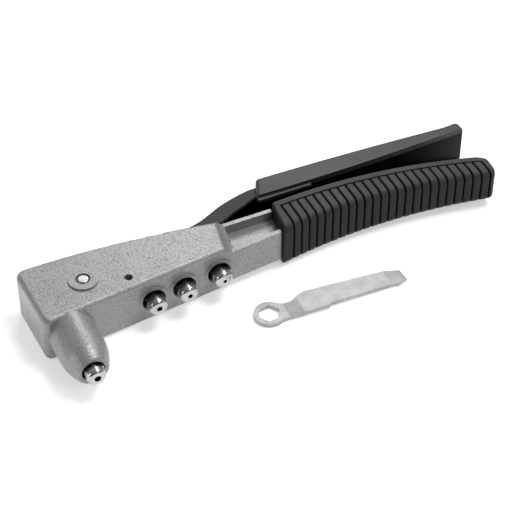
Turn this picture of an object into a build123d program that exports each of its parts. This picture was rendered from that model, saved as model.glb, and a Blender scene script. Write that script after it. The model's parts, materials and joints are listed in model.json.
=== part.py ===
from build123d import *
from math import cos, radians, sin, sqrt
import os

os.makedirs("parts", exist_ok=True)

# The tool lies on its side: the nose points along -Y, the handles run along +X, and z = 0 is the
# middle plane of the tool.  The origin is the centre of the fitted nosepiece's front face.

# Casting
half_body = 13.8             # half thickness of the die-cast body
half_slot = 9.3              # half width of the slot that the lever swings in
front_at_nose = 34.4         # y of the front face where the nose axis meets it
front_slope = 0.101          # the front face leans back towards the handles
body_edge_radius = 2.6
small_hole_x, small_hole_y, small_hole_radius = 35.3, 45.2, 2.2
beam_start, beam_end = 86.0, 121.0
beam_back = 65.4             # y of the back face of the I-beam between body and grip
beam_slant = 2.6             # the beam is this much longer along its back than along its front
half_beam = 9.5
half_web = 4.1               # half thickness of its web
rail = 2.4                   # width of the rails along its front and back
half_tang = 6.8              # half thickness of the tang inside the grip
tang_start = 119.0

# Nose and its bores
nose_end = 5.6
opening_radius = 6.1
shoulder = 10.2              # depth at which a nosepiece's hexagon seats, from its own tip
thread_radius = 3.9
thread_end = 17.2
thread_clearance = 0.1
case_bore_start, case_bore_end = 13.6, 50.0
case_radius = 7.5
case_clearance = 0.06

# Pivot and lever travel
pivot_x, pivot_y = 14.2, 53.2
pin_radius = 3.0
pin_head_radius, pin_head_height = 5.5, 1.9
boss_radius, boss_height = 7.7, 0.9
half_travel = radians(18)    # the lever swings this far to each side of square to the nose axis
finger_radius = 3.6
half_channel = 8.8           # half width of the steel lever over its side plates
plate = 1.9                  # thickness of the lever's steel

# Jaw case, measured back from its own front face
case_front = 26.3            # y of that face with the handles closed
case_length = 25.04
spigot_start = 22.0
flange_radius, flange_width = 8.2, 2.5
groove_radius = 6.4
groove_width = 2 * finger_radius + 0.3

# Grips
grip_start, grip_end = 121.0, 247.0
half_grip_near, half_grip_far = 13.8, 10.2
grip_back_x, grip_back_y = 156.4, -241.5     # centre of the arc of the grip's back edge
grip_back_radius = 309.1
border = 4.7                 # plain band between the back edge and the ribs
rib_start, rib_end, rib_count = 127.8, 242.8, 25
rib_gap, rib_depth = 0.8, 0.8
half_sleeve = 12.2

# Spanner, lying on the same surface as the tool
floor = -half_body
spanner_thickness = 2.4
spanner_crank = 1.3          # height that the blade is cranked up over the ring
ring_radius = 8.1
hex_flats = 10.0

# Spare nosepieces: x of each and y of its tip, with the radius of its bore
spare_seats = [(45.5, 30.8), (63.0, 32.5), (83.3, 34.7)]
spare_names = ["spare_nosepiece_4_0mm", "spare_nosepiece_3_2mm", "spare_nosepiece_2_4mm"]
spare_bores = [1.35, 1.1, 0.85]
fitted_bore = 1.6
seat_radius, seat_recess_radius = 7.9, 6.4


def front_y(x):
    """The front face of the casting at a distance x along it."""
    return front_at_nose + front_slope * x


def grip_back(x, inset=0.0):
    """The grip's back edge at a distance x along it, or a line set in from that edge."""
    return grip_back_y + sqrt((grip_back_radius - inset) ** 2 - (x - grip_back_x) ** 2)


def disc(radius, low, high, x=0.0, y=0.0, mode=Mode.ADD):
    """A round bar along Z between two heights."""
    with BuildSketch(Plane.XY.offset(low), mode=Mode.PRIVATE) as section:
        with Locations((x, y)):
            Circle(radius)
    extrude(section.sketch, amount=high - low, mode=mode)


def bar_along_nose(radius, start, end, x=0.0, mode=Mode.ADD):
    """A round bar along Y between two distances from the nose tip."""
    with BuildSketch(Plane.XZ.offset(-start), mode=Mode.PRIVATE) as section:
        with Locations((x, 0)):
            Circle(radius)
    extrude(section.sketch, amount=start - end, mode=mode)


def slab(points, low, high, mode=Mode.ADD):
    """A flat plate with a straight-sided outline, between two heights."""
    with BuildSketch(Plane.XY.offset(low), mode=Mode.PRIVATE) as section:
        with BuildLine():
            Polyline(points, close=True)
        make_face()
    extrude(section.sketch, amount=high - low, mode=mode)


def turned(points):
    """A ring or sleeve turned about the nose axis, from its half section."""
    with BuildSketch(Plane.XY, mode=Mode.PRIVATE) as section:
        with BuildLine():
            Polyline(points, close=True)
        make_face()
    revolve(section.sketch, axis=Axis.Y)


def write(part, name):
    part.label = name
    export_step(part, "parts/" + name + ".step")


# ---------------------------------------------------------------- casting
back_left = (-15.2, 74.2)
front_left = (-14.2, front_y(-14.2))
back_right = (92.6, 64.7)
end_front = (88.3, front_y(88.3))
body_end_plane = Plane(origin=(*end_front, 0), z_dir=(back_right[0] - end_front[0],
                       back_right[1] - end_front[1], 0), x_dir=(back_right[1] - end_front[1],
                       end_front[0] - back_right[0], 0))

# hollow slope from the body's end down to the I-beam's web
with BuildPart() as end_slope:
    with BuildSketch(body_end_plane.offset(-5)):
        with BuildLine():
            ThreePointArc((-0.8, 13.0), (1.2, 10.9), (3.7, half_beam - 0.2))
            Polyline((3.7, half_beam - 0.2), (5.6, half_web - 1), (5.6, 1 - half_web), (3.7, 0.2 - half_beam))
            ThreePointArc((3.7, 0.2 - half_beam), (1.2, -10.9), (-0.8, -13.0))
            Line((-0.8, -13.0), (-0.8, 13.0))
        make_face()
    extrude(amount=32)
    with BuildSketch(Plane.XY.offset(-half_body), mode=Mode.PRIVATE) as beam_sides:
        with BuildLine():
            Polyline((80, front_y(80)), (100, front_y(100)), (100, beam_back - 0.4), (80, beam_back - 0.4),
                     close=True)
        make_face()
    extrude(beam_sides.sketch, amount=2 * half_body, mode=Mode.INTERSECT)

with BuildPart() as body_casting:
    with BuildSketch(Plane.XY.offset(-half_body)) as outline:
        with BuildLine():
            Line(front_left, back_left)
            ThreePointArc(back_left, (40, 72.4), back_right)
            Line(back_right, end_front)
            Line(end_front, front_left)
        make_face()
        fillet(outline.vertices().sort_by(Axis.X)[0], 5.5)
        fillet(outline.vertices().group_by(Axis.Y)[0], 3.5)
    extrude(amount=2 * half_body)
    fillet(body_casting.faces().group_by(Axis.Z)[-1].edges(), body_edge_radius)
    fillet(body_casting.faces().group_by(Axis.Z)[0].edges(), body_edge_radius)

    # nose: a bullet shape, round at its front and as deep as the body where it joins it
    with BuildSketch(Plane.XY) as nose_profile:
        with BuildLine():
            Line((0, nose_end), (7.4, nose_end))
            ThreePointArc((7.4, nose_end), (8.2, 5.9), (8.6, 6.6))
            ThreePointArc((8.6, 6.6), (10.9, 12.3), (12.0, 22.0))
            Line((12.0, 22.0), (12.3, 40.0))
            Line((12.3, 40.0), (0, 40.0))
            Line((0, 40.0), (0, nose_end))
        make_face()
    revolve(axis=Axis.Y)
    with BuildSketch(Plane.XZ.offset(-19.0), mode=Mode.PRIVATE) as nose_round:
        Circle(11.7)
    with BuildSketch(Plane.XZ.offset(-30.0), mode=Mode.PRIVATE) as nose_middle:
        Ellipse(12.1, 12.9)
    with BuildSketch(Plane.XZ.offset(-39.5), mode=Mode.PRIVATE) as nose_root:
        Ellipse(12.3, half_body - 0.1)
    loft([nose_round.sketch, nose_middle.sketch, nose_root.sketch])

    # I-beam, with a pocket above and below its web, and the tang that carries the grip
    slab([(beam_start, front_y(beam_start)), (beam_end, front_y(beam_end)),
          (beam_end + beam_slant, beam_back), (beam_start, beam_back)], -half_beam, half_beam)
    with BuildSketch(Plane.XY.offset(-half_tang)) as tang:
        with BuildLine():
            ThreePointArc((tang_start, 48.0), (172.0, 51.8), (228.0, 46.2))
            Line((228.0, 46.2), (229.0, 53.8))
            ThreePointArc((229.0, 53.8), (175.0, 63.6), (tang_start, 62.4))
            Line((tang_start, 62.4), (tang_start, 48.0))
        make_face()
    extrude(amount=2 * half_tang)
    for side in (1, -1):
        slab([(beam_start + 4, front_y(beam_start + 4) + rail), (beam_end + 2, front_y(beam_end + 2) + rail),
              (beam_end + beam_slant + 2, beam_back - rail), (beam_start + 7, beam_back - rail)],
             side * half_web, side * (half_beam + 1), mode=Mode.SUBTRACT)
    add(end_slope.part)

    # slot for the lever, open at the back
    slab([(-10.4, 41.8), (20.0, 41.8), (24.0, 47.0), (40.0, 51.0), (62.0, 56.2), (84.5, 63.0),
          (92.0, 65.7), (98.0, 67.0), (98.0, 90.0), (-10.4, 90.0)], -half_slot, half_slot, mode=Mode.SUBTRACT)

    # bores along the nose axis
    bar_along_nose(case_radius + case_clearance, case_bore_start, case_bore_end, mode=Mode.SUBTRACT)
    bar_along_nose(thread_radius + thread_clearance, nose_end, case_bore_start + 1, mode=Mode.SUBTRACT)
    bar_along_nose(opening_radius, nose_end - 1, shoulder, mode=Mode.SUBTRACT)

    # raised seats for the spare nosepieces, square to the nose
    for x, tip in spare_seats:
        bar_along_nose(seat_radius, front_y(x) - 0.9, front_y(x) + 3.0, x)
    for x, tip in spare_seats:
        bar_along_nose(seat_recess_radius, front_y(x) - 3.0, tip + shoulder, x, mode=Mode.SUBTRACT)
        bar_along_nose(thread_radius + thread_clearance, front_y(x) - 3.0, tip + thread_end + 1.0, x,
                       mode=Mode.SUBTRACT)

    # pivot boss with its recess, the pin's hole and flush head; small hole through the front wall
    disc(boss_radius, half_body - 1, half_body + boss_height, pivot_x, pivot_y)
    disc(3.8, half_body - 0.5, half_body + boss_height + 1, pivot_x, pivot_y, mode=Mode.SUBTRACT)
    disc(pin_radius + 0.03, -half_body - 1, half_body + 2, pivot_x, pivot_y, mode=Mode.SUBTRACT)
    disc(pin_head_radius + 0.1, -half_body - 1, -half_body + pin_head_height + 0.1, pivot_x, pivot_y,
         mode=Mode.SUBTRACT)
    disc(small_hole_radius, -half_body - 1, half_body + 2, small_hole_x, small_hole_y, mode=Mode.SUBTRACT)
write(body_casting.part, "body_casting")

# ---------------------------------------------------------------- grip on the fixed handle
grip_taper = (half_grip_near - half_grip_far) / (grip_end - grip_start)
grip_corner_x, grip_tip_x = 124.1, 248.3


def grip_solid(inset, edge_radius):
    """The grip's outer shape, or the same shape with its front, top and bottom set in."""
    with BuildPart() as solid:
        with BuildSketch(Plane.XY.offset(-half_grip_near)) as outline:
            with BuildLine():
                ThreePointArc((121.2, 44.6 + inset), (170.0, 48.4 + inset), (246.9 - inset, 38.6 + inset))
                Line((246.9 - inset, 38.6 + inset), (grip_tip_x - inset, grip_back(grip_tip_x)))
                ThreePointArc((grip_tip_x - inset, grip_back(grip_tip_x)),
                              (177.0, grip_back(177.0)), (grip_corner_x, grip_back(grip_corner_x)))
                Line((grip_corner_x, grip_back(grip_corner_x)), (121.2, 44.6 + inset))
            make_face()
            fillet(outline.vertices().group_by(Axis.X)[-1], 6.0)
            fillet(outline.vertices().filter_by(lambda v: v.X > 240 and v.Y < 43).sort_by(Axis.Y)[0], 4.6)
        extrude(amount=2 * half_grip_near)
        near, far = half_grip_near - inset, half_grip_far - inset
        for side in (1, -1):
            with BuildSketch(Plane.XZ.offset(-30.0), mode=Mode.PRIVATE) as wedge:
                with BuildLine():
                    Polyline((grip_start - 5, side * (near + 5 * grip_taper)),
                             (grip_end + 5, side * (far - 5 * grip_taper)),
                             (grip_end + 5, side * 30), (grip_start - 5, side * 30), close=True)
                make_face()
            extrude(wedge.sketch, amount=-60, mode=Mode.SUBTRACT)
        fillet(solid.faces().sort_by(Axis.Z)[-1].edges().sort_by(Axis.Y)[0], edge_radius)
        fillet(solid.faces().sort_by(Axis.Z)[0].edges().sort_by(Axis.Y)[0], edge_radius)
    return solid.part


grip_outer = grip_solid(0.0, 4.2)
grip_core = grip_solid(rib_depth, 3.6)

rib_pitch = (rib_end - rib_start) / (rib_count - 1)
with BuildPart() as rib_gaps:
    for number in range(rib_count):
        x = rib_start + number * rib_pitch
        reach = grip_back(x, border) - 30.0
        with Locations((x, 30.0 + reach / 2, 0)):
            Box(rib_gap, reach, 40.0)
    # line that joins the back ends of the gaps
    with BuildSketch(Plane.XY.offset(-20.0), mode=Mode.PRIVATE) as border_line:
        with BuildLine():
            middle = (rib_start + rib_end) / 2
            inner, outer = border + rib_gap / 2, border - rib_gap / 2
            ThreePointArc((rib_start, grip_back(rib_start, inner)), (middle, grip_back(middle, inner)),
                          (rib_end, grip_back(rib_end, inner)))
            Line((rib_end, grip_back(rib_end, inner)), (rib_end, grip_back(rib_end, outer)))
            ThreePointArc((rib_end, grip_back(rib_end, outer)), (middle, grip_back(middle, outer)),
                          (rib_start, grip_back(rib_start, outer)))
            Line((rib_start, grip_back(rib_start, outer)), (rib_start, grip_back(rib_start, inner)))
        make_face()
    extrude(border_line.sketch, amount=40.0)
    add(grip_core, mode=Mode.SUBTRACT)

with BuildPart() as handle_grip:
    add(grip_outer)
    extrude(tang.sketch, amount=2 * half_tang, mode=Mode.SUBTRACT)
    add(rib_gaps.part, mode=Mode.SUBTRACT)
write(handle_grip.part, "handle_grip")

# ---------------------------------------------------------------- pivot
with BuildPart() as pivot_pin:
    disc(pin_radius, -half_body, half_body + boss_height, pivot_x, pivot_y)
    disc(pin_head_radius, -half_body, -half_body + pin_head_height, pivot_x, pivot_y)
    fillet(pivot_pin.edges().group_by(Axis.Z)[-1], 0.7)
write(pivot_pin.part, "pivot_pin")

with BuildPart() as pin_retaining_ring:
    disc(3.7, half_body - 0.48, half_body + 0.1, pivot_x, pivot_y)
    disc(pin_radius + 0.02, half_body - 1, half_body + 1, pivot_x, pivot_y, mode=Mode.SUBTRACT)
write(pin_retaining_ring.part, "pin_retaining_ring")

with BuildPart() as pivot_washers:
    for low in (half_channel + 0.05, -half_slot + 0.03):
        disc(7.4, low, low + 0.42, pivot_x, pivot_y)
    disc(pin_radius + 0.06, -half_body, half_body, pivot_x, pivot_y, mode=Mode.SUBTRACT)
write(pivot_washers.part, "pivot_washers")

with BuildPart() as pivot_spacer:
    disc(5.0, plate - half_channel, half_channel - plate, pivot_x, pivot_y)
    disc(pin_radius + 0.06, -half_body, half_body, pivot_x, pivot_y, mode=Mode.SUBTRACT)
write(pivot_spacer.part, "pivot_spacer")


# ---------------------------------------------------------------- nosepieces
def nosepiece(x, tip, bore, name):
    """A hexagonal anvil with a domed tip, a threaded shank and a bore for the rivet's stem."""
    with BuildPart() as dome:
        with BuildSketch(Plane.XY.move(Location((x, tip, 0)))):
            with BuildLine():
                Line((0, 0), (2.9, 0))
                ThreePointArc((2.9, 0), (4.4, 0.75), (4.95, 2.4))
                Polyline((4.95, 2.4), (5.0, 3.4), (5.9, 4.5), (5.9, shoulder), (0, shoulder), (0, 0))
            make_face()
        revolve(axis=Axis((x, 0, 0), (0, 1, 0)))
    with BuildPart() as piece:
        with BuildSketch(Plane.XZ.offset(-tip)):
            with Locations((x, 0)):
                RegularPolygon(hex_flats / 2, 6, major_radius=False, rotation=30)
        extrude(amount=-shoulder)
        add(dome.part, mode=Mode.INTERSECT)
        bar_along_nose(thread_radius - 0.5, tip + shoulder, tip + shoulder + 1.0, x)
        bar_along_nose(thread_radius, tip + shoulder + 0.9, tip + thread_end, x)
        chamfer(piece.faces().sort_by(Axis.Y)[-1].edges(), 0.7)
        bar_along_nose(bore, tip - 1, tip + thread_end + 1, x, mode=Mode.SUBTRACT)
        chamfer(piece.faces().sort_by(Axis.Y)[0].edges().sort_by(SortBy.RADIUS)[0], 0.25)
    write(piece.part, name)


nosepiece(0.0, 0.0, fitted_bore, "fitted_nosepiece")
for (x, tip), bore, name in zip(spare_seats, spare_bores, spare_names):
    nosepiece(x, tip, bore, name)

# ---------------------------------------------------------------- steel lever
finger_x = pivot_x - pivot_x * cos(half_travel)      # the fork fingers meet the nose axis
finger_y = pivot_y + pivot_x * sin(half_travel)
channel_end = 205.0


def arm_point(along, across):
    """A point on the fork arm, measured from the finger's centre towards the pivot."""
    ux, uy = cos(half_travel), -sin(half_travel)
    return (finger_x + along * ux - across * uy, finger_y + along * uy + across * ux)


with BuildPart() as lever_channel:
    with BuildSketch(Plane.XY.offset(-half_channel)) as lever_outline:
        with BuildLine():
            ThreePointArc((11.0, 60.4), (50.0, 65.6), (83.5, 72.0))
            Spline((83.5, 72.0), (99.3, 78.8), (112.5, 83.0), (124.0, 84.6),
                   tangents=[(1, 0.27), (1, -0.01)])
            ThreePointArc((124.0, 84.6), (165.0, 83.35), (channel_end, 81.55))
            Polyline((channel_end, 81.55), (channel_end, 78.2), (122.0, 78.0))
            Spline((122.0, 78.0), (113.6, 75.1), (105.5, 72.2), (97.0, 68.0),
                   tangents=[(-1, -0.1), (-1, -0.5)])
            Polyline((97.0, 68.0), (62.0, 57.5), (20.0, 47.7), (11.0, 60.4))
        make_face()
        with Locations((pivot_x, pivot_y)):
            Circle(8.0)
        with Locations((finger_x, finger_y)):
            Circle(finger_radius)
        with BuildLine():
            Polyline(arm_point(0, 2.05), arm_point(5.2, 2.05), arm_point(9, 5.5),
                     arm_point(9, -5.5), arm_point(5.2, -2.05), arm_point(0, -2.05), close=True)
        make_face()
    extrude(amount=2 * half_channel)
    # hollow between the side plates, leaving the web along the back
    with BuildSketch(Plane.XY.offset(plate - half_channel)) as hollow:
        with BuildLine():
            ThreePointArc((28.0, 60.8), (55.0, 64.5), (84.0, 70.1))
            Spline((84.0, 70.1), (99.9, 76.9), (113.0, 81.1), (124.2, 82.6),
                   tangents=[(1, 0.27), (1, -0.01)])
            ThreePointArc((124.2, 82.6), (165.0, 81.45), (channel_end + 1, 79.6))
            Polyline((channel_end + 1, 79.6), (channel_end + 1, 40.0), (-10.0, 40.0), (-10.0, 70.0),
                     (28.0, 70.0), (28.0, 60.8))
        make_face()
    extrude(amount=2 * (half_channel - plate), mode=Mode.SUBTRACT)
    disc(pin_radius + 0.04, -half_body, half_body, pivot_x, pivot_y, mode=Mode.SUBTRACT)
write(lever_channel.part, "lever_channel")

# ---------------------------------------------------------------- sleeve on the lever
half_trough = half_channel + 0.2
with BuildPart() as lever_sleeve:
    with BuildSketch(Plane.XY.offset(-half_sleeve)) as sleeve_outline:
        with BuildLine():
            Line((120.4, 75.0), (125.6, 88.0))
            straight = ThreePointArc((125.6, 88.0), (185.0, 86.2), (236.0, 83.4))
            TangentArc((236.0, 83.4), (247.2, 84.5), tangent=straight % 1)
            Line((247.2, 84.5), (247.2, 77.4))
            ThreePointArc((247.2, 77.4), (183.0, 74.8), (120.4, 75.0))
        make_face()
        fillet(sleeve_outline.vertices().filter_by(lambda v: v.Y > 83.0 and v.X < 130), 3.0)
        fillet(sleeve_outline.vertices().filter_by(lambda v: v.Y > 83.0 and v.X > 240), 2.8)
    extrude(amount=2 * half_sleeve)
    back_edges = lever_sleeve.edges().filter_by(lambda e: abs(e.center().Z) > half_sleeve - 0.1)
    fillet(back_edges.filter_by(lambda e: e.center().Y > 82.0), 1.8)
    # trough for the steel, which runs out towards the sleeve's end
    with BuildSketch(Plane.XY.offset(-half_trough)) as trough:
        with BuildLine():
            inside = ThreePointArc((116.0, 84.9), (165.0, 83.5), (channel_end + 1, 81.7))
            TangentArc((channel_end + 1, 81.7), (246.0, 77.6), tangent=inside % 1)
            Polyline((246.0, 77.6), (249.0, 77.0), (249.0, 60.0), (116.0, 60.0), (116.0, 84.9))
        make_face()
    extrude(amount=2 * half_trough, mode=Mode.SUBTRACT)
    # tongues along the front edges near the neck, and the hooks behind them that hold the side plates
    for low in (9.0, -10.9):
        slab([(120.4, 72.3), (149.8, 72.3), (151.4, 72.9), (152.0, 74.0), (152.0, 75.6), (120.4, 75.6)],
             low, low + 1.9)
    for low in (6.6, -9.2):
        slab([(121.4, 75.8), (151.0, 76.2), (151.0, 77.7), (121.4, 77.7)], low, low + 2.6)
write(lever_sleeve.part, "lever_sleeve")

# ---------------------------------------------------------------- jaw case and jaws
cone_front, cone_back, cone_end = 3.4, 5.6, 12.0
jaw_start, jaw_end = 0.8, 10.4
jaw_bite, jaw_tooth, jaw_gap = 1.1, 0.35, 0.06
tooth_pitch, tooth_count = 1.2, 7
pusher_flange = 13.6


def along(distance):
    """The y of a point at a distance behind the jaw case's front face."""
    return case_front + distance


with BuildPart() as jaw_case:
    turned([(cone_front, along(0)), (case_radius - 0.8, along(0)), (case_radius, along(0.8)),
            (case_radius, along(case_length)), (cone_back, along(case_length)), (cone_back, along(cone_end))])
write(jaw_case.part, "jaw_case")

jaw_slope = (cone_back - cone_front) / cone_end
teeth = [(jaw_bite, along(jaw_start))]
for number in range(tooth_count):
    root = jaw_start + 0.7 + tooth_pitch * number
    crest = jaw_bite + jaw_tooth
    teeth += [(jaw_bite, along(root)), (crest, along(root + 0.6)), (jaw_bite, along(root + 0.9))]
teeth.append((jaw_bite, along(jaw_end)))
for side, name in ((1, "jaw_right"), (-1, "jaw_left")):
    with BuildPart() as jaw:
        turned([(cone_front + jaw_end * jaw_slope - jaw_gap, along(jaw_end)),
                (cone_front + jaw_start * jaw_slope - jaw_gap, along(jaw_start))] + teeth)
        split(bisect_by=Plane.YZ.offset(side * 0.25), keep=Keep.TOP if side > 0 else Keep.BOTTOM)
    write(jaw.part, name)

with BuildPart() as jaw_pusher:
    turned([(1.5, along(10.5)), (4.9, along(10.5)), (5.45, along(11.6)), (5.45, along(pusher_flange)),
            (2.9, along(pusher_flange)), (2.9, along(19.0)), (1.5, along(19.0))])
write(jaw_pusher.part, "jaw_pusher")

spring_turns, wire_radius, spring_radius, spring_gap = 5, 0.45, 4.3, 0.05
spring_length = spigot_start - pusher_flange - 2 * (wire_radius + spring_gap)
with BuildPart() as jaw_spring:
    with BuildLine() as coil:
        Helix(spring_length / spring_turns, spring_length, spring_radius,
              center=(0, along(pusher_flange + wire_radius + spring_gap), 0), direction=(0, 1, 0))
    with BuildSketch(Plane(origin=coil.line @ 0, z_dir=coil.line % 0)):
        Circle(wire_radius)
    sweep(path=coil.line)
write(jaw_spring.part, "jaw_spring")

groove_start = case_length + flange_width
with BuildPart() as lock_nut:
    turned([(5.6, along(case_length)), (flange_radius, along(case_length)),
            (flange_radius, along(groove_start)), (5.6, along(groove_start))])
    chamfer(lock_nut.edges().filter_by(GeomType.CIRCLE).group_by(SortBy.RADIUS)[-1], 0.4)
write(lock_nut.part, "lock_nut")

groove_end = groove_start + groove_width
with BuildPart() as pull_collar:
    turned([(2.2, along(spigot_start)), (5.55, along(spigot_start)), (5.55, along(groove_start)),
            (groove_radius, along(groove_start)), (groove_radius, along(groove_end)),
            (flange_radius, along(groove_end)), (flange_radius, along(groove_end + 3.0)),
            (2.2, along(groove_end + 3.0))])
    chamfer(pull_collar.edges().filter_by(GeomType.CIRCLE).group_by(SortBy.RADIUS)[-1], 0.4)
write(pull_collar.part, "pull_collar")

# ---------------------------------------------------------------- spanner
ring_x, ring_y = 98.7, 15.0
spanner_turn = radians(-3.6)
spanner_plane = Plane(origin=(ring_x, ring_y, floor), x_dir=(cos(spanner_turn), sin(spanner_turn), 0),
                      z_dir=(0, 0, 1))
side_plane = Plane(origin=spanner_plane.origin, x_dir=spanner_plane.x_dir, z_dir=-spanner_plane.y_dir)
with BuildPart() as blank:
    with BuildSketch(spanner_plane):
        Circle(ring_radius)
        with BuildLine():
            Polyline((4.5, 6.4), (9.0, 3.8), (13.4, 3.2), (18.3, 5.9), (21.8, 7.0), (66.0, 6.2),
                     (75.2, 4.6), (76.2, -2.6), (70.4, -5.0), (67.9, -4.4), (31.6, -5.5),
                     (30.6, -6.7), (28.0, -6.8), (15.3, -7.1), (9.0, -6.3), (4.5, -6.7), close=True)
        make_face()
    extrude(amount=12)

with BuildPart() as spanner:
    with BuildSketch(side_plane.offset(-12)):
        with BuildLine():
            raised = spanner_crank + spanner_thickness
            Polyline((-9, 0), (9.5, 0), (17.5, spanner_crank), (31, spanner_crank - 0.2), (77, 0.3), (77, 1.4),
                     (66, spanner_thickness + 0.4), (31, raised - 0.2), (16.7, raised),
                     (8.8, spanner_thickness), (-9, spanner_thickness), close=True)
        make_face()
    extrude(amount=24)
    add(blank.part, mode=Mode.INTERSECT)
    with BuildSketch(spanner_plane.offset(-1), mode=Mode.PRIVATE) as hexagon:
        RegularPolygon(hex_flats / 2 + 0.1, 6, major_radius=False, rotation=10)
    extrude(hexagon.sketch, amount=8, mode=Mode.SUBTRACT)
write(spanner.part, "spanner")
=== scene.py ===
import json
import math

import bpy
import numpy as np
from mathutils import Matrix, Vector


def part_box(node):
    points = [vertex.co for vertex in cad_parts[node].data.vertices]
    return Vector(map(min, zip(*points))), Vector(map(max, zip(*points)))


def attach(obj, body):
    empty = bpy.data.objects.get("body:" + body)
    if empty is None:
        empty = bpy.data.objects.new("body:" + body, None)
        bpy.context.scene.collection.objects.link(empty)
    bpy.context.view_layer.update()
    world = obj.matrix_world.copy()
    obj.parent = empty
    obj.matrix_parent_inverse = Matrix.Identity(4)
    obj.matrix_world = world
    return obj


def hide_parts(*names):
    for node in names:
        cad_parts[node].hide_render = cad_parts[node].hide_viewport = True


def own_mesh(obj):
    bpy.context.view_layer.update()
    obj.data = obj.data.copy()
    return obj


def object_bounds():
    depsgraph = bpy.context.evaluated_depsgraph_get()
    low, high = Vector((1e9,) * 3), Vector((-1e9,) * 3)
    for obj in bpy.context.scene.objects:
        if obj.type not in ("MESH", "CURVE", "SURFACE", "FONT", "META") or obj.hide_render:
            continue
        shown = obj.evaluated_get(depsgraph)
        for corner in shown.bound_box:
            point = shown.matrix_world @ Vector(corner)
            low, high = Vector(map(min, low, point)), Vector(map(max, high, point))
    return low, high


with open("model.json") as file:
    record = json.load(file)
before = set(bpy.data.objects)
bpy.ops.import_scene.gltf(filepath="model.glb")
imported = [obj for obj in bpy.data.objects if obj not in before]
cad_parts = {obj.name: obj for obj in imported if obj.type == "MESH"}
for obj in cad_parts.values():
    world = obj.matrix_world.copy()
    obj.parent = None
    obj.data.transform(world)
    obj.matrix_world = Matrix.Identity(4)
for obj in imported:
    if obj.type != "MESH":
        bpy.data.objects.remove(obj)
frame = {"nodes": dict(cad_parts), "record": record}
cadLow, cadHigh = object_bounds()
mm = 0.001
print("frame loaded:", len(frame["nodes"]), "nodes")


class Value:
    # one output socket, so that shader maths reads as an expression
    def __init__(self, tree, socket):
        self.tree, self.socket = tree, socket

    def maths(self, operation, *others):
        node = self.tree.nodes.new("ShaderNodeMath")
        node.operation = operation
        for place, item in zip(node.inputs, (self, *others)):
            if isinstance(item, Value):
                self.tree.links.new(item.socket, place)
            else:
                place.default_value = item
        return Value(self.tree, node.outputs[0])

    def flipped(self, operation, other):
        node = self.tree.nodes.new("ShaderNodeMath")
        node.operation = operation
        node.inputs[0].default_value = other
        self.tree.links.new(self.socket, node.inputs[1])
        return Value(self.tree, node.outputs[0])

    def __add__(self, other): return self.maths("ADD", other)
    def __radd__(self, other): return self.maths("ADD", other)
    def __sub__(self, other): return self.maths("SUBTRACT", other)
    def __rsub__(self, other): return self.flipped("SUBTRACT", other)
    def __mul__(self, other): return self.maths("MULTIPLY", other)
    def __rmul__(self, other): return self.maths("MULTIPLY", other)
    def __truediv__(self, other): return self.maths("DIVIDE", other)
    def __pow__(self, other): return self.maths("POWER", other)

    def clamped(self):
        return self.maths("MAXIMUM", 0.0).maths("MINIMUM", 1.0)

    def between(self, low, high):
        # 0 at low, 1 at high, straight in between
        return ((self - low) / (high - low)).clamped()


class NodeSheet:
    # one node tree, and the method that its nodes come from
    def __init__(self, tree):
        self.tree = tree

    def add(self, kind, settings=None, sockets=None, out=0):
        node = self.tree.nodes.new(kind)
        for key, value in (settings or {}).items():
            setattr(node, key, value)
        for key, value in (sockets or {}).items():
            if isinstance(value, Value):
                self.tree.links.new(value.socket, node.inputs[key])
            else:
                node.inputs[key].default_value = value
        return Value(self.tree, node.outputs[out])

    def axes(self, vector):
        node = self.tree.nodes.new("ShaderNodeSeparateXYZ")
        self.tree.links.new(vector.socket, node.inputs[0])
        return [Value(self.tree, socket) for socket in node.outputs]


class Finish(NodeSheet):
    # a material under construction: a Principled shader and the nodes that feed it
    def __init__(self, name, **fixed):
        self.material = bpy.data.materials.new(name)
        self.material.use_nodes = True
        super().__init__(self.material.node_tree)
        self.shader = self.tree.nodes["Principled BSDF"]
        self.place = self.add("ShaderNodeTexCoord", out="Object")
        for socket, value in fixed.items():
            self.shader.inputs[socket.replace("_", " ")].default_value = value

    def noise(self, scale, detail=3.0, roughness=0.5, where=None):
        return self.add("ShaderNodeTexNoise", None,
                        {"Vector": where or self.place, "Scale": scale, "Detail": detail,
                         "Roughness": roughness}, "Fac")

    def cells(self, scale, feature="F1", where=None):
        return self.add("ShaderNodeTexVoronoi", {"feature": feature},
                        {"Vector": where or self.place, "Scale": scale}, "Distance")

    def stretched(self, *scale):
        return self.add("ShaderNodeMapping", None, {"Vector": self.place, "Scale": scale})

    def painted(self, attribute):
        return self.add("ShaderNodeAttribute", {"attribute_name": attribute}, out="Fac")

    def mix(self, factor, first, second):
        return self.add("ShaderNodeMix", {"data_type": "RGBA"}, {0: factor, 6: first, 7: second}, 2)

    def bump(self, height, strength, distance):
        return self.add("ShaderNodeBump", None, {"Height": height, "Strength": strength, "Distance": distance})

    def feed(self, **links):
        for socket, value in links.items():
            self.tree.links.new(value.socket, self.shader.inputs[socket.replace("_", " ")])
        return self.material


def grey(level, warmth=0.0):
    return (level * (1 + warmth), level, level * (1 - warmth), 1.0)


enamel = {"pale": (0.415, 0.423, 0.420, 1), "deep": (0.115, 0.120, 0.122, 1), "speck": (0.075, 0.078, 0.076, 1),
          "metallic": 0.45, "coat": 0.30, "coatRoughness": 0.34, "poolScale": 1050.0, "flakeScale": 2300.0,
          "speckScale": 900.0, "driftScale": 55.0, "wander": 0.0012, "wanderScale": 240.0, "seams": (0.42, 0.75),
          "specks": (0.60, 0.70), "middle": 0.55, "flakes": 1.6, "drift": 0.3, "seamDepth": 0.22,
          "roughness": 0.34, "relief": 0.55, "reliefDepth": 0.0003}


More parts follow.
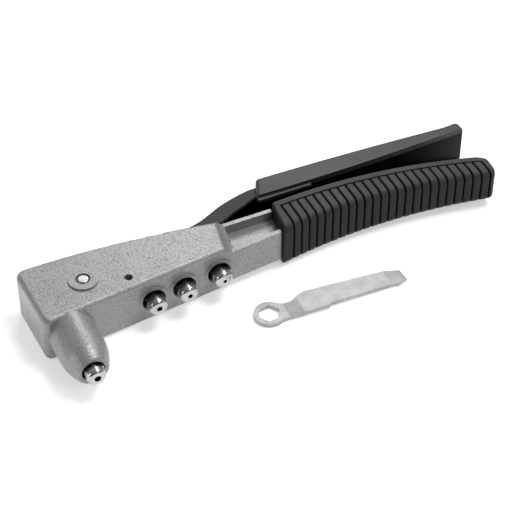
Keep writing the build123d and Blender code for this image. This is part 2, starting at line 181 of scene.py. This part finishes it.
def hammeredPaint():
    # silver enamel that has drawn into small pools: light pools, darker seams between them, fine flakes
    look = enamel
    f = Finish("hammeredPaint", Metallic=look["metallic"], Coat_Weight=look["coat"],
               Coat_Roughness=look["coatRoughness"])
    wander = f.noise(look["wanderScale"], 2.0)
    shift = f.add("ShaderNodeVectorMath", {"operation": "SCALE"}, {0: wander, "Scale": look["wander"]})
    spot = f.add("ShaderNodeVectorMath", {"operation": "ADD"}, {0: f.place, 1: shift})
    pools = f.cells(look["poolScale"], "SMOOTH_F1", spot)
    flakes = f.noise(look["flakeScale"], 3.0, 0.65)
    drift = f.noise(look["driftScale"], 4.0)
    specks = f.noise(look["speckScale"], 2.0, 0.6).between(*look["specks"])
    seams = pools.between(*look["seams"])
    tone = look["middle"] + (flakes - 0.5) * look["flakes"] + (drift - 0.5) * look["drift"]
    silver = f.mix((tone - seams * look["seamDepth"]).clamped(), look["deep"], look["pale"])
    height = (1.0 - pools) * 0.8 + flakes * 0.2
    return f.feed(Base_Color=f.mix(specks * 0.5, silver, look["speck"]),
                  Roughness=look["roughness"] + seams * 0.15 + flakes * 0.12,
                  Normal=f.bump(height, look["relief"], look["reliefDepth"]))


# the first pair of plastic colours is a darker copy for the front and ends and the second a lighter copy for the
# upward faces, which is painted light; the last colour is painted shade in the grooves
charcoal = {"shadedSide": (grey(0.008), grey(0.013)), "litTop": (grey(0.034, 0.004), grey(0.048, 0.006)),
            "groove": grey(0.001), "ior": 1.30, "grainScale": 2600.0, "cloudScale": 45.0, "clouds": (0.3, 0.7),
            "roughness": 0.46, "relief": 0.22, "reliefDepth": 0.0001}


def ribbedPlastic():
    # charcoal moulding: fine spark-eroded grain; painted light makes its upward faces paler and its front and
    # ends darker, and painted shade makes its grooves near black
    look = charcoal
    f = Finish("ribbedPlastic", IOR=look["ior"])
    grain = f.noise(look["grainScale"], 3.0, 0.6)
    cloud = f.noise(look["cloudScale"], 4.0)
    # the first mark is the grooves, which get painted shade; the second is the upward faces, which are painted
    # paler as painted light
    recess, litTop = f.painted("recess"), f.painted("litTop")
    patches = cloud.between(*look["clouds"])
    plastic = f.mix(litTop, f.mix(patches, *look["shadedSide"]), f.mix(patches, *look["litTop"]))
    rough = look["roughness"] + grain * 0.16 - cloud * 0.08 + recess * 0.4
    # painted shade: the grooves are painted near black and made metallic so that they stay dark
    return f.feed(Base_Color=f.mix(recess, plastic, look["groove"]), Roughness=rough.clamped(),
                  Metallic=recess, Normal=f.bump(grain, look["relief"], look["reliefDepth"]))


# painted shade: the near-black colour that stands in for the shadow inside a trough, extra roughness there, and
# how it fades out at the sides and at the back wall
troughShade = {"colour": grey(0.0008), "rougher": 0.3, "sideFade": (0.05, 0.3), "wallFade": 0.4}


def shadeInTrough(wall, y, z, half):
    # where painted shade goes: 1 on the faces inside a trough that opens to -Y, in front of its back wall and
    # between its two sides
    near, far = (half + edge for edge in troughShade["sideFade"])
    amid = 1.0 - z.maths("ABSOLUTE").between(near * mm, far * mm)
    return (wall - y).between(0.0, troughShade["wallFade"] * mm) * amid


# the middle of the sleeve's back wall is at y = wallAtZero + wallSlope * x; the painted shade in its trough fades
# towards the far end
sleeve = {"deep": (0.009, 0.0084, 0.0088, 1), "pale": (0.015, 0.0139, 0.0146, 1), "ior": 1.46,
          "grainScale": 3000.0, "streakScale": (30.0, 300.0, 300.0), "streaks": (0.3, 0.7), "roughness": 0.36,
          "relief": 0.12, "reliefDepth": 0.0001, "half": 9.0, "wallAtZero": 92.5, "wallSlope": -0.0486,
          "shadeFadeFrom": 208.0, "shadeFadeTo": 246.0, "shadeFading": 0.6}


def blackPlastic():
    # satin black dip on the lever's sleeve: a faint violet cast, long soft streaks along the handle; the inside
    # of its trough has painted shade
    look = sleeve
    f = Finish("blackPlastic", IOR=look["ior"])
    grain = f.noise(look["grainScale"], 2.0)
    streak = f.noise(1.0, 4.0, 0.6, f.stretched(*look["streakScale"]))
    colour = f.mix(streak.between(*look["streaks"]), look["deep"], look["pale"])
    x, y, z = f.axes(f.place)
    wall = x * look["wallSlope"] + look["wallAtZero"] * mm
    opened = x.between(look["shadeFadeFrom"] * mm, look["shadeFadeTo"] * mm)
    # painted shade inside the trough, lighter towards the open far end; it is also made metallic so that it stays
    # near black
    dark = shadeInTrough(wall, y, z, look["half"]) * (1.0 - opened * look["shadeFading"])
    return f.feed(Base_Color=f.mix(dark, colour, troughShade["colour"]), Metallic=dark,
                  Roughness=look["roughness"] + streak * 0.14 + dark * troughShade["rougher"],
                  Normal=f.bump(grain, look["relief"], look["reliefDepth"]))


# the channel's web is straight runs, each (y at x = 0, slope): it climbs, less steeply each time, then falls
channel = {"deep": (0.010, 0.0096, 0.010, 1), "pale": (0.018, 0.0172, 0.0176, 1), "ior": 1.36, "peelScale": 700.0,
           "cloudScale": 35.0, "clouds": (0.3, 0.7), "roughness": 0.40, "relief": 0.12, "reliefDepth": 0.0002,
           "half": 6.9, "low": (57.15, 0.166), "neck": (33.97, 0.442),
           "runs": ((47.4, 0.307), (66.5, 0.138), (88.2, -0.037)), "from": 70.0, "full": 78.0}


def blackSteel():
    # black enamelled steel: orange-peel surface over the pressed channel; inside the channel it is rougher and
    # has painted shade
    look = channel
    f = Finish("blackSteel", IOR=look["ior"])
    peel = f.noise(look["peelScale"], 2.0)
    cloud = f.noise(look["cloudScale"], 4.0)
    colour = f.mix(cloud.between(*look["clouds"]), look["deep"], look["pale"])
    x, y, z = f.axes(f.place)
    low, neck = (x * slope + start * mm for start, slope in (look["low"], look["neck"]))
    wall = low.maths("MAXIMUM", neck)
    for start, slope in look["runs"]:
        wall = wall.maths("MINIMUM", x * slope + start * mm)
    # painted shade inside the channel towards its far end; it is also made metallic so that it stays near black
    dark = shadeInTrough(wall, y, z, look["half"]) * x.between(look["from"] * mm, look["full"] * mm)
    return f.feed(Base_Color=f.mix(dark, colour, troughShade["colour"]), Metallic=dark,
                  Roughness=look["roughness"] + peel * 0.15 + dark * troughShade["rougher"],
                  Normal=f.bump(peel, look["relief"], look["reliefDepth"]))


turned = {"ringScale": (120.0, 5200.0, 120.0), "mottleScale": 170.0, "stainScale": 420.0, "mottles": (0.3, 0.7),
          "stains": (0.58, 0.72), "dimmer": 0.84, "stainLevel": 0.45, "stainWarmth": 0.06, "staining": 0.35,
          "relief": 0.04, "reliefDepth": 0.00003}
# a nosepiece's painted shade: near black inside its bore, and a darker band with a ragged edge where its hexagon
# sits in its seat
nosepiece = {"level": 0.52, "rough": 0.20, "boreFade": (0.05, 0.25), "boreShadeColour": grey(0.002),
             "seatStart": 3.0, "seatFull": 4.8, "seatRagged": 0.6, "seating": 0.8, "seatShadeColour": grey(0.05, 0.02)}


def turnedSteel(name, level, rough, warmth=0.0, bore=None):
    # lathe-turned metal: rings of tool marks across the nose axis over a soft mottling and faint stains;
    # a nosepiece also has painted shade inside its bore and where its hexagon sits in its seat
    look = turned
    f = Finish(name, Metallic=1.0)
    rings = f.noise(1.0, 3.0, 0.7, f.stretched(*look["ringScale"]))
    mottle = f.noise(look["mottleScale"], 4.0)
    stain = f.noise(look["stainScale"], 3.0).between(*look["stains"])
    shine = f.mix(mottle.between(*look["mottles"]), grey(level * look["dimmer"], warmth), grey(level, warmth))
    colour = f.mix(stain * look["staining"], shine, grey(level * look["stainLevel"], look["stainWarmth"]))
    if bore:
        # painted shade: near black in the bore, darker where the hexagon sits in its seat
        seat = nosepiece
        x, y, z = f.axes(f.place)
        fromAxis = ((x - bore["x"]) ** 2.0 + z * z).maths("SQRT")
        near, far = (bore["radius"] + edge * mm for edge in seat["boreFade"])
        inside = 1.0 - fromAxis.between(near, far)
        ragged = y + mottle * (seat["seatRagged"] * mm)
        seated = ragged.between(bore["tip"] + seat["seatStart"] * mm, bore["tip"] + seat["seatFull"] * mm)
        colour = f.mix(seated * seat["seating"], colour, seat["seatShadeColour"])
        colour = f.mix(inside, colour, seat["boreShadeColour"])
    return f.feed(Base_Color=colour, Roughness=rough * (0.7 + rings * 0.6) + stain * 0.08,
                  Normal=f.bump(rings, look["relief"], look["reliefDepth"]))


zinc = {"deep": (0.33, 0.33, 0.34, 1), "pale": (0.44, 0.44, 0.44, 1), "nick": (0.24, 0.24, 0.25, 1),
        "metallic": 0.80, "hazeScale": 190.0, "grainScale": 1500.0, "nickScale": 260.0, "haze": (0.35, 0.65),
        "nicks": (0.0, 0.16), "roughness": 0.40, "relief": 0.16, "reliefDepth": 0.0001}


def zincPlate():
    # bright zinc on stamped sheet: milky patches, a fine crystalline grain, small nicks
    look = zinc
    f = Finish("zincPlate", Metallic=look["metallic"])
    haze = f.noise(look["hazeScale"], 4.0)
    grain = f.noise(look["grainScale"], 3.0, 0.7)
    whole = f.cells(look["nickScale"]).between(*look["nicks"])
    plating = f.mix(haze.between(*look["haze"]), look["deep"], look["pale"])
    return f.feed(Base_Color=f.mix(whole, look["nick"], plating),
                  Roughness=look["roughness"] + haze * 0.16 + grain * 0.06,
                  Normal=f.bump(grain + whole * 0.6, look["relief"], look["reliefDepth"]))


finishes = {
    "hammered_casting": hammeredPaint(),
    "ribbed_grip": ribbedPlastic(),
    "black_sleeve": blackPlastic(),
    "black_steel": blackSteel(),
    "bright_steel": turnedSteel("brightSteel", 0.42, 0.34),
    "dark_steel": turnedSteel("darkSteel", 0.09, 0.34, 0.03),
    "polished_steel": turnedSteel("polishedSteel", 0.58, 0.15),
    "oiled_steel": turnedSteel("oiledSteel", 0.40, 0.27, 0.04),
    "zinc_plate": zincPlate(),
}
slotOf = {row["node"]: row["material_slot"] for row in frame["record"]["subparts"]}
boreRadius = {"fitted_nosepiece": 1.6, "spare_nosepiece_4_0mm": 1.35, "spare_nosepiece_3_2mm": 1.1,
              "spare_nosepiece_2_4mm": 0.85}
for name, node in frame["nodes"].items():
    finish = finishes[slotOf[name]]
    if name in boreRadius:
        low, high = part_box(name)
        bore = {"x": (low[0] + high[0]) / 2, "tip": low[1], "radius": boreRadius[name] * mm}
        finish = turnedSteel(name + "Steel", nosepiece["level"], nosepiece["rough"], bore=bore)
    node.data.materials.clear()
    node.data.materials.append(finish)
print("finishes on:", len(slotOf), "nodes")


def meshFromGrid(name, points, loopColumns=False, capRows=False):
    # joins a grid of points into quads; capRows closes the first and last rows on their middles
    rows, columns = points.shape[:2]
    i = np.arange(rows - 1)[:, None]
    j = np.arange(columns if loopColumns else columns - 1)[None, :]
    nextJ = (j + 1) % columns
    corners = [i * columns + j, (i + 1) * columns + j, (i + 1) * columns + nextJ, i * columns + nextJ]
    verts, faces = points.reshape(-1, 3), np.stack(corners, -1).reshape(-1, 4).tolist()
    if capRows:
        verts = np.concatenate([verts, [points[0].mean(0), points[-1].mean(0)]])
        ring = np.arange(columns)
        last = (rows - 1) * columns
        middle = np.full(columns, rows * columns)
        faces += np.stack([ring, np.roll(ring, -1), middle], -1).tolist()
        faces += np.stack([last + np.roll(ring, -1), last + ring, middle + 1], -1).tolist()
    mesh = bpy.data.meshes.new(name)
    mesh.from_pydata(verts.tolist(), [], faces)
    mesh.shade_smooth()
    piece = bpy.data.objects.new(name, mesh)
    bpy.context.scene.collection.objects.link(piece)
    return piece


def faceOutward(piece):
    # turns a closed piece's faces out: its signed volume comes out positive when they already are
    mesh = piece.data
    mesh.calc_loop_triangles()
    corners = np.empty(len(mesh.loop_triangles) * 3, np.int32)
    mesh.loop_triangles.foreach_get("vertices", corners)
    spots = np.empty(len(mesh.vertices) * 3)
    mesh.vertices.foreach_get("co", spots)
    a, b, c = spots.reshape(-1, 3)[corners.reshape(-1, 3)].transpose(1, 0, 2)
    if (a * np.cross(b, c)).sum() < 0:
        mesh.flip_normals()


def ease(value, low, high):
    # smooth step from 0 at low to 1 at high
    t = np.clip((value - low) / (high - low), 0.0, 1.0)
    return t * t * (3.0 - 2.0 * t)


def roundedIn(radius, distance):
    # how far an edge of this radius has drawn in, at a distance from the end
    t = np.clip(1 - distance / radius, 0, 1)
    return radius * (1 - np.sqrt(1 - t * t))


# millimetres; the grip's back and front are arcs, given by centre and radius
grip = {"start": 121.2, "end": 247.0, "halfNear": 13.75, "halfFar": 10.2, "backCentre": (156.4, -241.5),
        "backRadius": 309.0, "frontCentre": (169.7, -262.4), "frontRadius": 310.8, "backRound": 1.5,
        "frontRound": 4.2, "nearEdge": 1.3, "farEdge": 2.2, "backEnd": 6.0, "frontEnd": 4.6, "thinnest": 14.0,
        "slant": 0.136, "slantRun": 6.0, "slantAt": 44.6, "endSlant": 0.093, "endSlantAt": 44.0,
        "ribStart": 127.8, "ribEnd": 242.8, "ribs": 25, "gap": 1.0, "depth": 1.05, "crown": 0.12,
        "grooveFade": (0.32, 0.62), "lineFade": (0.28, 0.55), "crownFade": (-1.3, -0.4), "ribFade": (0.2, 0.5),
        "border": 4.7, "borderFade": 0.15, "litTopFrom": 0.8, "litTopFull": 2.2}
# rows along the handle, then columns over the upper half of the section
gripGrid = {"nearRows": 9, "nearRun": 2.0, "farRows": 16, "farLead": 0.9, "evenStart": 2.3, "evenLead": 0.6,
            "countFrom": 123.0, "rowsPerRib": 18, "back": 6, "corner": 7, "margin": 5, "line": 12,
            "lineStrip": 0.7, "flat": 12, "bow": 16, "front": 10}


def gripStations(pitch):
    # places along the handle: even through the ribs, closing up towards the rounded ends
    g, n = grip, gripGrid
    quarter = math.pi / 2
    near = g["start"] + (1 - np.cos(np.linspace(0, quarter, n["nearRows"]))) * n["nearRun"]
    count = int(n["rowsPerRib"] * (g["ribEnd"] - n["countFrom"]) / pitch)
    middle = np.linspace(g["start"] + n["evenStart"], g["ribEnd"] + n["evenLead"], count)
    farRun = g["end"] - g["ribEnd"] - n["farLead"]
    far = g["end"] - farRun * (1 - np.sin(np.linspace(0, quarter, n["farRows"])))
    return np.concatenate([near, middle, far])


def ribbedGrip():
    # a rounded oblong section carried along two arcs; grooves cross its front, top and bottom at equal
    # steps and end at a fine line that follows the back edge; depth is taken off along the normal
    g, n = grip, gripGrid
    pitch = (g["ribEnd"] - g["ribStart"]) / (g["ribs"] - 1)
    x = gripStations(pitch)[:, None]
    back = g["backCentre"][1] + np.sqrt(g["backRadius"] ** 2 - (x - g["backCentre"][0]) ** 2)
    front = g["frontCentre"][1] + np.sqrt(g["frontRadius"] ** 2 - (x - g["frontCentre"][0]) ** 2)
    half = g["halfNear"] + (g["halfFar"] - g["halfNear"]) * (x - g["start"]) / (g["end"] - g["start"])
    fromNear, fromFar = x - g["start"], g["end"] - x
    nearIn, farIn = roundedIn(g["nearEdge"], fromNear), roundedIn(g["farEdge"], fromFar)
    back = back - nearIn - roundedIn(g["backEnd"], fromFar)
    front = front + nearIn + roundedIn(g["frontEnd"], fromFar)
    half = half - nearIn - farIn
    k = np.minimum(1.0, (back - front) / g["thinnest"])
    backRound, frontRound, line = g["backRound"] * k, g["frontRound"] * k, back - g["border"] * k

    def run(low, high, count, end=False):
        return low + (high - low) * np.linspace(0, 1, count, endpoint=end)[None, :]

    # upper half of the section, from the middle of the back, over the top, to the middle of the front
    turn = run(0.0, math.pi / 2, n["corner"])
    bow = run(math.pi / 2, math.pi, n["bow"])
    one = np.ones_like(x)
    zero = one * 0
    top = n["margin"] + n["line"] + n["flat"]
    strip = n["lineStrip"]
    y = [run(back, back, n["back"]), back - backRound + backRound * np.cos(turn),
         run(back - backRound, line + strip, n["margin"]), run(line + strip, line - strip, n["line"]),
         run(line - strip, front + frontRound, n["flat"]), front + frontRound + frontRound * np.cos(bow),
         run(front, front, n["front"], True)]
    z = [run(zero, half - backRound, n["back"]), half - backRound + backRound * np.sin(turn),
         run(half, half, top), half - frontRound + frontRound * np.sin(bow),
         run(half - frontRound, zero, n["front"], True)]
    across = [run(one, one, n["back"]), one * np.cos(turn), run(zero, zero, top), one * np.cos(bow),
              run(-one, -one, n["front"], True)]
    upward = [run(zero, zero, n["back"]), one * np.sin(turn), run(one, one, top), one * np.sin(bow),
              run(zero, zero, n["front"], True)]
    y, z, across, upward = (np.concatenate(columns, 1) for columns in (y, z, across, upward))

    lean = g["slant"] * (1 - ease(x, g["start"], g["start"] + g["slantRun"])) * (y - g["slantAt"])
    lean = lean + g["endSlant"] * ease(x, g["ribEnd"], g["end"]) * (y - g["endSlantAt"])
    spot = x + lean
    number = np.clip(np.round((spot - g["ribStart"]) / pitch), 0, g["ribs"] - 1)
    fromGroove = np.abs(spot - g["ribStart"] - number * pitch)
    ribbed = 1 - ease(y, line - g["borderFade"], line + g["borderFade"])
    short, long = g["ribFade"]
    along = (ease(spot, g["ribStart"] - long, g["ribStart"] - short)
             * (1 - ease(spot, g["ribEnd"] + short, g["ribEnd"] + long)))
    groove = (1 - ease(fromGroove, *(g["gap"] * edge for edge in g["grooveFade"]))) * ribbed
    fineLine = (1 - ease(np.abs(y - line), *(g["gap"] * edge for edge in g["lineFade"]))) * along * (upward > 0.9)
    crown = g["crown"] * ribbed * along * ease(-fromGroove, *g["crownFade"])
    cut = np.maximum(groove, fineLine)
    depth = np.maximum(cut * g["depth"], crown)
    y, z = y - across * depth, z - upward * depth
    # painted light: the upward faces are marked to be painted paler, from a little way in from the near end
    litTop = upward * ease(x, g["start"] + g["litTopFrom"], g["start"] + g["litTopFull"])

    def wholeRing(upper, side=1):
        # the lower half is the upper one in the mirror
        return np.concatenate([upper, side * upper[:, -2:0:-1]], 1)

    points = np.stack([wholeRing(spot), wholeRing(y), wholeRing(z, -1)], -1) * mm
    piece = meshFromGrid("ribbedGrip", points, True, True)
    for word, field in (("recess", wholeRing(cut)), ("litTop", wholeRing(litTop))):
        values = np.concatenate([field.ravel(), [0.0, 0.0]]).astype(np.float32)
        piece.data.attributes.new(word, "FLOAT", "POINT").data.foreach_set("value", values)
    faceOutward(piece)
    piece.data.materials.append(finishes["ribbed_grip"])
    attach(piece, "frame")
    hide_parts("handle_grip")


ribbedGrip()
print("grip made")

spring = {"turns": 5.0, "endTurns": 1.0, "wire": 0.45, "radius": 4.3, "steps": 48, "sides": 12, "travel": 2.0}


def woundSpring():
    # a round wire carried along a helix whose climb stops at both ends, so that the last half turns lie flat
    g = spring
    low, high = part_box("jaw_spring")
    start, end = low[1] / mm + g["wire"], high[1] / mm - g["wire"]
    turns = g["turns"] + g["endTurns"]
    t = np.linspace(0.0, 1.0, int(g["steps"] * turns))
    angle = 2 * math.pi * turns * t
    lying = g["endTurns"] / 2 / turns
    y = start + (end - start) * np.clip((t - lying) / (1 - 2 * lying), 0.0, 1.0)
    centre = np.stack([g["radius"] * np.cos(angle), y, g["radius"] * np.sin(angle)], -1)
    along = np.gradient(centre, axis=0)
    along /= np.linalg.norm(along, axis=1)[:, None]
    out = np.stack([np.cos(angle), np.zeros_like(t), np.sin(angle)], -1)
    side = np.cross(along, out)
    side /= np.linalg.norm(side, axis=1)[:, None]
    out = np.cross(side, along)
    turn = np.linspace(0.0, 2 * math.pi, g["sides"], endpoint=False)[None, :, None]
    points = centre[:, None] + g["wire"] * (out[:, None] * np.cos(turn) + side[:, None] * np.sin(turn))
    piece = meshFromGrid("woundSpring", points * mm, True, True)
    faceOutward(piece)
    piece.data.materials.append(finishes[slotOf["jaw_spring"]])
    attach(piece, "puller")
    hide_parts("jaw_spring")
    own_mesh(piece)


woundSpring()
print("spring wound")

# lights are disks: place, aim, size in metres and power in watts
studio = {"aim": (0.10544, 0.04604, 0.0), "distance": 0.8827, "azimuth": -25.6, "elevation": 43.0,
          "lens": 120.7, "sensor": 36.0,
          "lights": {"key": ((0.60, 0.02, 1.15), (0.1, 0.05, 0), 0.6, 8.5),
                     "rear": ((0.60, 0.98, 0.95), (0.1, 0.05, 0), 0.55, 4.5),
                     "left": ((-1.1, 0.05, 0.35), (0.0, 0.05, 0), 0.6, 2.6),
                     "front": ((0.40, -0.72, 0.72), (0.1, 0.05, 0), 0.14, 1.3)},
          "room": {"level": 0.30, "x": 0.14, "y": 0.14, "z": 0.05},
          "floorWidth": (-2.5, 2.5, 31), "floorDepth": (-1.5, 3.0, 61), "riseFrom": 1.2, "rise": 0.5,
          "floorGap": 0.0001, "floorGlow": 0.42, "floorTone": (grey(0.90), grey(0.93))}


def placeCamera():
    turn, tilt = math.radians(studio["azimuth"]), math.radians(studio["elevation"])
    back = Vector((math.sin(turn) * math.cos(tilt), -math.cos(turn) * math.cos(tilt), math.sin(tilt)))
    data = bpy.data.cameras.new("camera")
    data.lens, data.sensor_width = studio["lens"], studio["sensor"]
    data.clip_start, data.clip_end = 0.05, 20.0
    camera = bpy.data.objects.new("camera", data)
    camera.location = Vector(studio["aim"]) + back * studio["distance"]
    camera.rotation_mode = "QUATERNION"
    camera.rotation_quaternion = (-back).to_track_quat("-Z", "Y")
    bpy.context.scene.collection.objects.link(camera)
    bpy.context.scene.camera = camera


def softLight(name, place, aim, size, power):
    data = bpy.data.lights.new(name, "AREA")
    data.shape, data.size, data.energy = "DISK", size, power
    light = bpy.data.objects.new(name, data)
    light.location = place
    light.rotation_mode = "QUATERNION"
    light.rotation_quaternion = (Vector(aim) - Vector(place)).to_track_quat("-Z", "Y")
    bpy.context.scene.collection.objects.link(light)


def makeFloor():
    # one pale sheet: level under the tool, then curving up behind it
    across, forward = np.linspace(*studio["floorWidth"]), np.linspace(*studio["floorDepth"])
    grid = np.stack(np.meshgrid(across, forward, indexing="ij"), -1)
    rise = np.clip(grid[..., 1] - studio["riseFrom"], 0, None) ** 2 * studio["rise"]
    points = np.concatenate([grid, (cadLow.z - studio["floorGap"] + rise)[..., None]], -1)
    floor = meshFromGrid("floor", points)
    f = Finish("paleFloor", Roughness=0.9, Emission_Color=grey(1.0), Emission_Strength=studio["floorGlow"])
    floor.data.materials.append(f.feed(Base_Color=f.mix(f.noise(8.0, 2.0), *studio["floorTone"])))


def lightSurroundings():
    # pale room that is darker towards the front and the left, so that metal has contrast
    world = bpy.data.worlds.new("studio")
    world.use_nodes = True
    sheet, room = NodeSheet(world.node_tree), studio["room"]
    x, y, z = sheet.axes(sheet.add("ShaderNodeTexCoord", out="Generated"))
    level = (room["level"] + y * room["y"] + x * room["x"] + z * room["z"]).clamped()
    background = world.node_tree.nodes["Background"]
    world.node_tree.links.new(level.socket, background.inputs["Strength"])
    background.inputs["Color"].default_value = grey(1.0)
    bpy.context.scene.world = world


placeCamera()
makeFloor()
for name, light in studio["lights"].items():
    softLight(name, *light)
lightSurroundings()
bpy.context.scene.view_settings.view_transform = "Standard"
print("studio ready")
